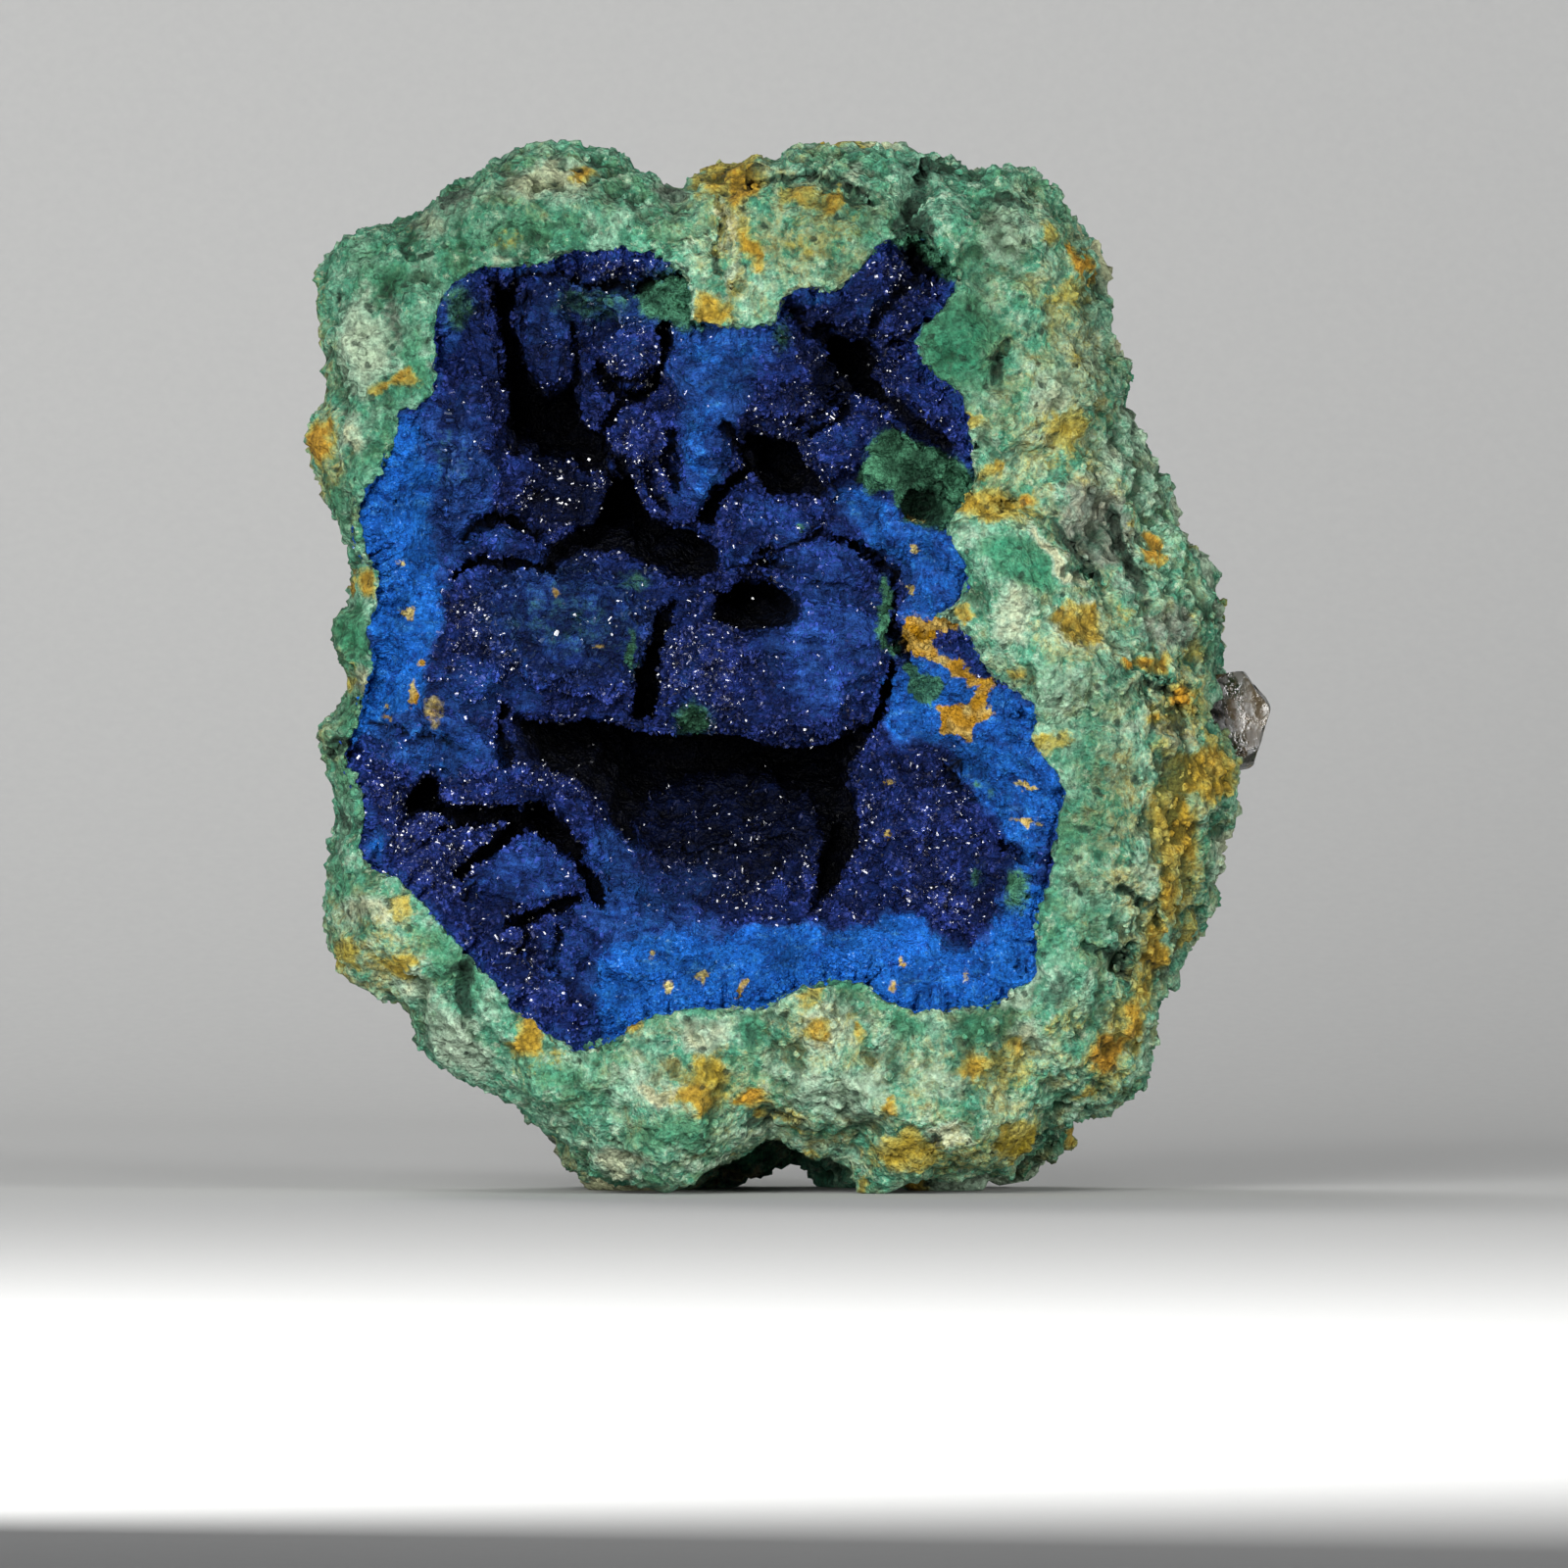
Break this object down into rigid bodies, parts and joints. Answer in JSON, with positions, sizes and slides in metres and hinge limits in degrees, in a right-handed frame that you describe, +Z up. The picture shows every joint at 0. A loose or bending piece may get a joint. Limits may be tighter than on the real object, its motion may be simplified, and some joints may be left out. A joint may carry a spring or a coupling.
{
  "type": "azurite specimen",
  "caption": "Broken-open mineral nodule: dark blue azurite lines the hollow of a malachite-stained rock with a clear quartz grain; stands on its worn base.",
  "frame": {"origin": "middle of the bounding box, on the plane that the worn base rests on", "axes": "+X to the right as the broken face is seen, +Y away from the broken face, +Z up"},
  "size_m": [0.089, 0.0584, 0.0968],
  "materials": {
    "host_rock": "rough broken rock stained green by malachite, with ochre iron stains",
    "azurite": "sparkling druse of fine crystals and dull bright blue powdery bands",
    "quartz": "clear to cloudy, faintly stained"
  },
  "bodies": {
    "root": {"host_rock": "host_rock", "azurite_crust": "azurite", "quartz_grain": "quartz"}
  },
  "joints": []
}
